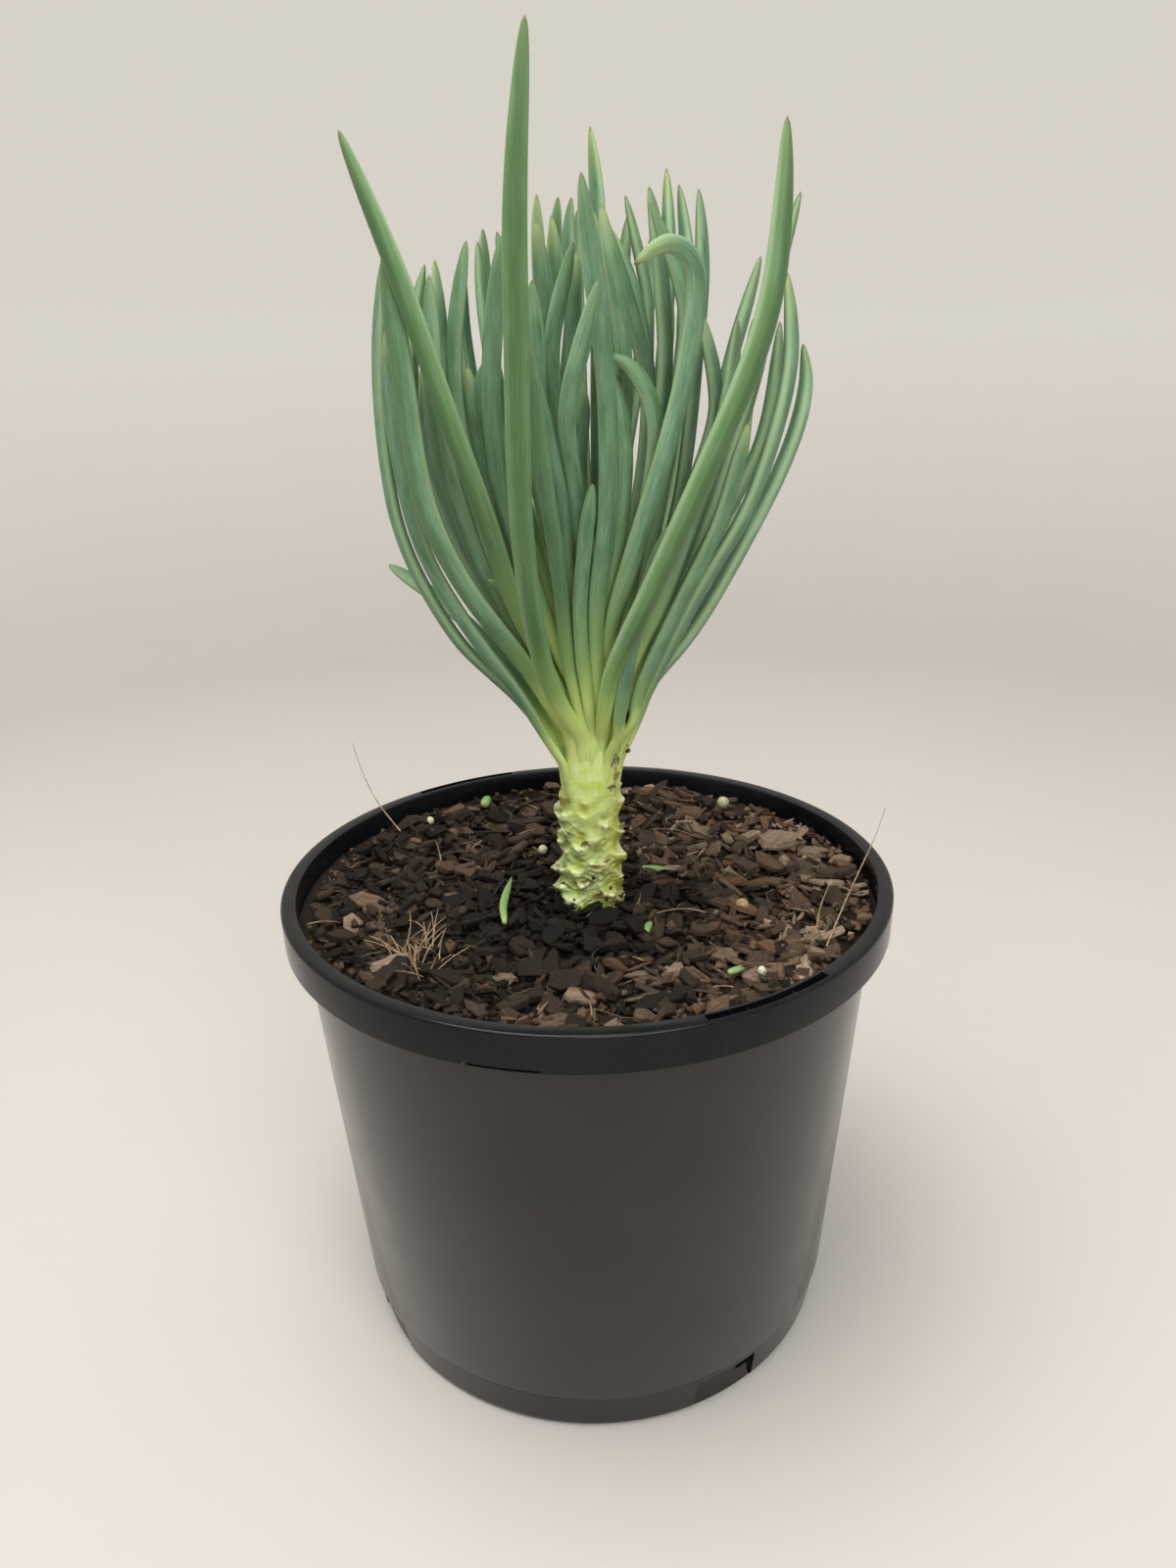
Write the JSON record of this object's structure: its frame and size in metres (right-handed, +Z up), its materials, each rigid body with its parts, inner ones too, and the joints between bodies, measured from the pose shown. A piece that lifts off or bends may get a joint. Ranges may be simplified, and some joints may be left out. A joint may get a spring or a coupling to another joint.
{
  "type": "potted chalk stick",
  "caption": "Succulent with a thick pale stem and a vase-shaped crown of upright blue-green finger leaves, planted in bark mix in a squat black nursery pot.",
  "frame": {"origin": "centre of the pot's foot ring, on the surface it stands on", "axes": "+Z up along the pot's axis; -Y is the front, the side the plant is seen from; +X is to the right from there"},
  "size_m": [0.2, 0.2, 0.387],
  "materials": {
    "pot_plastic": "satin, lightly scuffed",
    "potting_mix": "rough, moist bark chips",
    "stem_skin": "smooth fleshy skin with leaf scars",
    "leaf_skin": "waxy bloom, matt",
    "bark": "rough bark",
    "bead": "smooth coated bead"
  },
  "bodies": {
    "root": {"nursery_pot": "pot_plastic", "potting_mix": "potting_mix", "stem": "stem_skin", "bark_plate_large": "bark", "bark_plate_small": "bark", "bark_chip_front": "bark", "fallen_leaf_front": "leaf_skin", "fallen_leaf_side": "leaf_skin", "fertiliser_bead_back": "bead", "fertiliser_bead_side": "bead", "leaf_tall_front": "leaf_skin", "leaf_tall_left": "leaf_skin", "leaf_tall_right": "leaf_skin", "leaf_hooked": "leaf_skin", "leaf_front_1": "leaf_skin", "leaf_front_2": "leaf_skin", "leaf_front_3": "leaf_skin", "leaf_front_4": "leaf_skin", "leaf_front_5": "leaf_skin", "leaf_front_6": "leaf_skin", "leaf_left_1": "leaf_skin", "leaf_left_2": "leaf_skin", "leaf_left_3": "leaf_skin", "leaf_left_4": "leaf_skin", "leaf_left_5": "leaf_skin", "leaf_left_6": "leaf_skin", "leaf_left_7": "leaf_skin", "leaf_left_8": "leaf_skin", "leaf_left_9": "leaf_skin", "leaf_left_10": "leaf_skin", "leaf_left_11": "leaf_skin", "leaf_right_1": "leaf_skin", "leaf_right_2": "leaf_skin", "leaf_right_3": "leaf_skin", "leaf_right_4": "leaf_skin", "leaf_right_5": "leaf_skin", "leaf_right_6": "leaf_skin", "leaf_right_7": "leaf_skin", "leaf_right_8": "leaf_skin", "leaf_right_9": "leaf_skin", "leaf_right_10": "leaf_skin", "leaf_right_11": "leaf_skin", "leaf_right_12": "leaf_skin", "leaf_right_13": "leaf_skin", "leaf_right_14": "leaf_skin", "leaf_right_15": "leaf_skin", "leaf_right_16": "leaf_skin", "leaf_right_17": "leaf_skin", "leaf_right_18": "leaf_skin", "leaf_back_1": "leaf_skin", "leaf_back_2": "leaf_skin", "leaf_back_3": "leaf_skin", "leaf_back_4": "leaf_skin", "leaf_back_5": "leaf_skin", "leaf_back_6": "leaf_skin", "leaf_back_7": "leaf_skin", "leaf_back_8": "leaf_skin", "leaf_back_9": "leaf_skin", "leaf_back_10": "leaf_skin", "leaf_back_11": "leaf_skin"}
  },
  "joints": []
}
